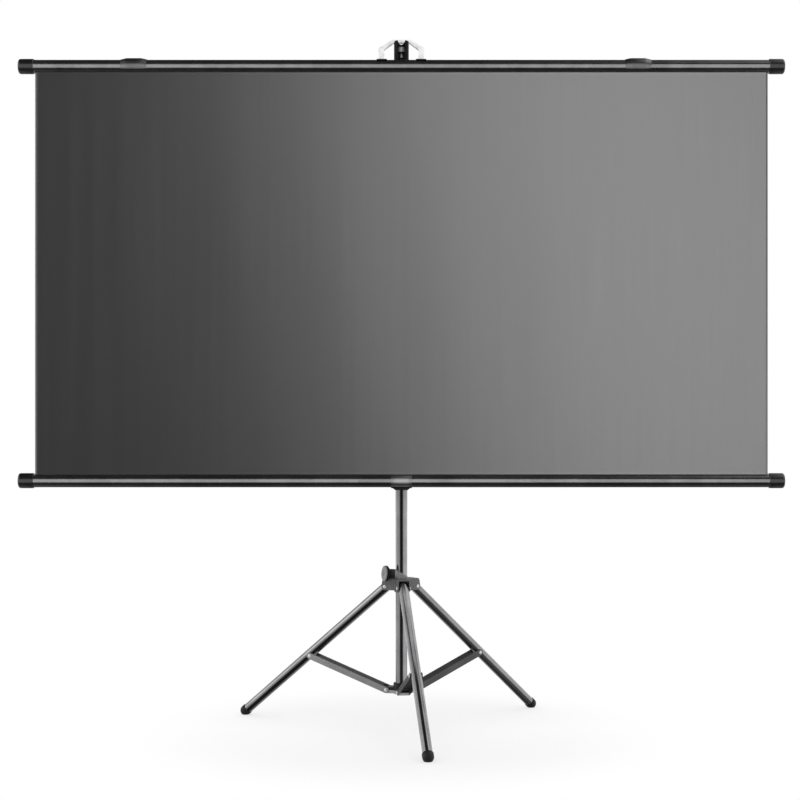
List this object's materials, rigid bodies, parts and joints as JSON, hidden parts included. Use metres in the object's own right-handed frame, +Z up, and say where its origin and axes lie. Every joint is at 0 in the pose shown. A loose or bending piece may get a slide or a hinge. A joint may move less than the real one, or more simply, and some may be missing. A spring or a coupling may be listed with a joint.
{
  "type": "projection screen",
  "caption": "Free-standing projection screen: wide grey fabric between slotted bars, on a telescoping mast with a folding tripod.",
  "frame": {"origin": "floor level, under the centre of the whole object's bounding box", "axes": "+Z up, +X along the bars to the viewer's right, the fabric faces -Y"},
  "size_m": [1.9472, 0.7455, 1.7643],
  "materials": {
    "tube_lacquer": "gloss charcoal lacquer",
    "bar_lacquer": "satin gunmetal lacquer",
    "black_plastic": "black, slightly glossy",
    "grey_plastic": "dark grey, satin",
    "light_plastic": "light grey, satin",
    "strut_steel": "grey lacquer, satin",
    "bright_steel": "bright zinc",
    "rubber": "black, matte",
    "aluminium": "satin, natural",
    "screen_fabric": "grey, satin front",
    "bead_plastic": "off-white, plain",
    "nylon": "grey, plain",
    "bail_white": "bright, near white"
  },
  "bodies": {
    "column": {"column_tube": "tube_lacquer", "foot_hub": "black_plastic", "hub_rivet_front": "bright_steel", "hub_rivet_right": "bright_steel", "hub_rivet_left": "bright_steel"},
    "collar": {"leg_collar": "grey_plastic", "clamp_ring": "grey_plastic", "leg_pin_front": "bright_steel", "leg_pin_right": "bright_steel", "leg_pin_left": "bright_steel"},
    "leg_knob": {"leg_knob": "black_plastic", "leg_knob_face": "light_plastic", "leg_knob_stud": "bright_steel"},
    "mast": {"mast_tube": "tube_lacquer", "mast_bush": "nylon", "mast_clamp": "black_plastic", "bar_cradle": "black_plastic", "screen_fabric": "screen_fabric"},
    "mast_knob": {"mast_knob": "black_plastic", "mast_knob_face": "light_plastic", "mast_knob_stud": "bright_steel"},
    "cradle_screw": {"cradle_screw": "black_plastic"},
    "lower_roller": {"bottom_bar": "bar_lacquer", "bottom_cap_left": "black_plastic", "bottom_cap_right": "black_plastic", "bottom_bead": "bead_plastic"},
    "upper": {"inner_mast": "aluminium", "mast_head": "black_plastic", "top_bar": "bar_lacquer", "top_cap_left": "black_plastic", "top_cap_right": "black_plastic", "top_bead": "bead_plastic", "bail_bracket_left": "black_plastic", "bail_bracket_right": "black_plastic", "bail_pin_left": "bright_steel", "bail_pin_right": "bright_steel"},
    "bail": {"carry_bail": "bail_white"},
    "clip_left": {"hanging_clip_left": "bar_lacquer"},
    "clip_right": {"hanging_clip_right": "bar_lacquer"},
    "strut_front": {"strut_front": "strut_steel", "strut_rivet_front_left": "bright_steel", "strut_rivet_front_right": "bright_steel"},
    "leg_front": {"leg_tube_front": "tube_lacquer", "foot_front": "rubber"},
    "strut_right": {"strut_right": "strut_steel", "strut_rivet_right_left": "bright_steel", "strut_rivet_right_right": "bright_steel"},
    "leg_right": {"leg_tube_right": "tube_lacquer", "foot_right": "rubber"},
    "strut_left": {"strut_left": "strut_steel", "strut_rivet_left_left": "bright_steel", "strut_rivet_left_right": "bright_steel"},
    "leg_left": {"leg_tube_left": "tube_lacquer", "foot_left": "rubber"}
  },
  "joints": [
    {"name": "collar_slide", "type": "slide", "parent": "column", "child": "collar", "axis": [0, 0, 1], "range_m": [0, 0.195]},
    {"name": "leg_fold_front", "type": "hinge", "parent": "collar", "child": "leg_front", "pos_m": [0.0055, 0.04358, 0.357], "axis": [0.9905, 0.1374, 0], "range_deg": [0, 25.28]},
    {"name": "strut_fold_front", "type": "hinge", "parent": "column", "child": "strut_front", "pos_m": [0.00504, 0.04684, 0.0921], "axis": [-0.9905, -0.1374, 0], "range_deg": [0, 40.54]},
    {"name": "leg_fold_right", "type": "hinge", "parent": "collar", "child": "leg_right", "pos_m": [0.03156, 0.10777, 0.357], "axis": [-0.6143, 0.7891, 0], "range_deg": [0, 25.28]},
    {"name": "strut_fold_right", "type": "hinge", "parent": "column", "child": "strut_right", "pos_m": [0.02896, 0.10574, 0.0921], "axis": [0.6143, -0.7891, 0], "range_deg": [0, 40.54]},
    {"name": "leg_fold_left", "type": "hinge", "parent": "collar", "child": "leg_left", "pos_m": [-0.03706, 0.09825, 0.357], "axis": [-0.3762, -0.9265, 0], "range_deg": [0, 25.28]},
    {"name": "strut_fold_left", "type": "hinge", "parent": "column", "child": "strut_left", "pos_m": [-0.034, 0.097, 0.0921], "axis": [0.3762, 0.9265, 0], "range_deg": [0, 40.54]},
    {"name": "leg_knob_turn", "type": "hinge", "parent": "collar", "child": "leg_knob", "pos_m": [-0.03723, 0.06891, 0.39194], "axis": [-0.9307, -0.3573, 0.0785], "range_deg": [0, 360]},
    {"name": "mast_swivel", "type": "hinge", "parent": "column", "child": "mast", "pos_m": [0, 0.0832, 0.55], "axis": [0, 0, 1], "continuous": true},
    {"name": "mast_extend", "type": "slide", "parent": "mast", "child": "upper", "axis": [0, 0, 1], "range_m": [-0.69, 0], "deforming": ["screen_fabric"]},
    {"name": "mast_knob_turn", "type": "hinge", "parent": "mast", "child": "mast_knob", "pos_m": [0, 0.1232, 0.905], "axis": [0, 1, 0], "range_deg": [0, 360]},
    {"name": "cradle_screw_turn", "type": "hinge", "parent": "mast", "child": "cradle_screw", "pos_m": [0, 0.1132, 0.647], "axis": [0, 1, 0], "range_deg": [0, 360]},
    {"name": "roller_turn", "type": "hinge", "parent": "mast", "child": "lower_roller", "pos_m": [0, 0.0472, 0.6305], "axis": [1, 0, 0], "range_deg": [0, 2161]},
    {"name": "bail_swing", "type": "hinge", "parent": "upper", "child": "bail", "pos_m": [0, 0.0582, 1.7013], "axis": [1, 0, 0], "range_deg": [-50, 50]},
    {"name": "clip_slide_left", "type": "slide", "parent": "upper", "child": "clip_left", "axis": [1, 0, 0], "range_m": [-0.22, 0.57]},
    {"name": "clip_slide_right", "type": "slide", "parent": "upper", "child": "clip_right", "axis": [1, 0, 0], "range_m": [-0.5, 0.3]}
  ],
  "couplings": [
    {"joint": "leg_fold_front", "follows": "collar_slide", "rad_per_m": 2.2626},
    {"joint": "strut_fold_front", "follows": "collar_slide", "rad_per_m": 3.6282},
    {"joint": "leg_fold_right", "follows": "collar_slide", "rad_per_m": 2.2626},
    {"joint": "strut_fold_right", "follows": "collar_slide", "rad_per_m": 3.6282},
    {"joint": "leg_fold_left", "follows": "collar_slide", "rad_per_m": 2.2626},
    {"joint": "strut_fold_left", "follows": "collar_slide", "rad_per_m": 3.6282},
    {"joint": "roller_turn", "follows": "mast_extend", "rad_per_m": -54.636}
  ]
}
